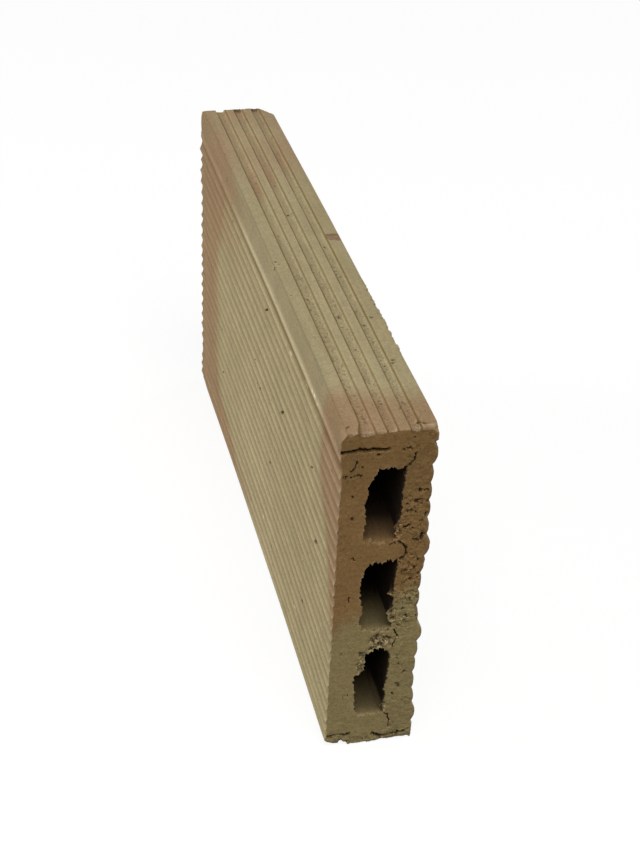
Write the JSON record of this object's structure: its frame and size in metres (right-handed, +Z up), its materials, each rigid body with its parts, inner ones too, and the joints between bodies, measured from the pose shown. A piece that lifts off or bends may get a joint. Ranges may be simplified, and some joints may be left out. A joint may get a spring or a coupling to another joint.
{
  "type": "hollow clay brick",
  "caption": "Thin extruded clay brick with rectangular through cells, a finely fluted front, a beaded back and keying grooves along both narrow edges.",
  "frame": {"origin": "centre of the long narrow edge that the brick stands on", "axes": "+X along the brick and its cells, +Y out of the beaded back face, +Z up across the height"},
  "size_m": [0.24, 0.029, 0.115],
  "materials": {
    "fired_clay": "matte fired clay, buff to brown, with fine grain and drag lines"
  },
  "bodies": {
    "root": {"hollow_brick": "fired_clay"}
  },
  "joints": []
}
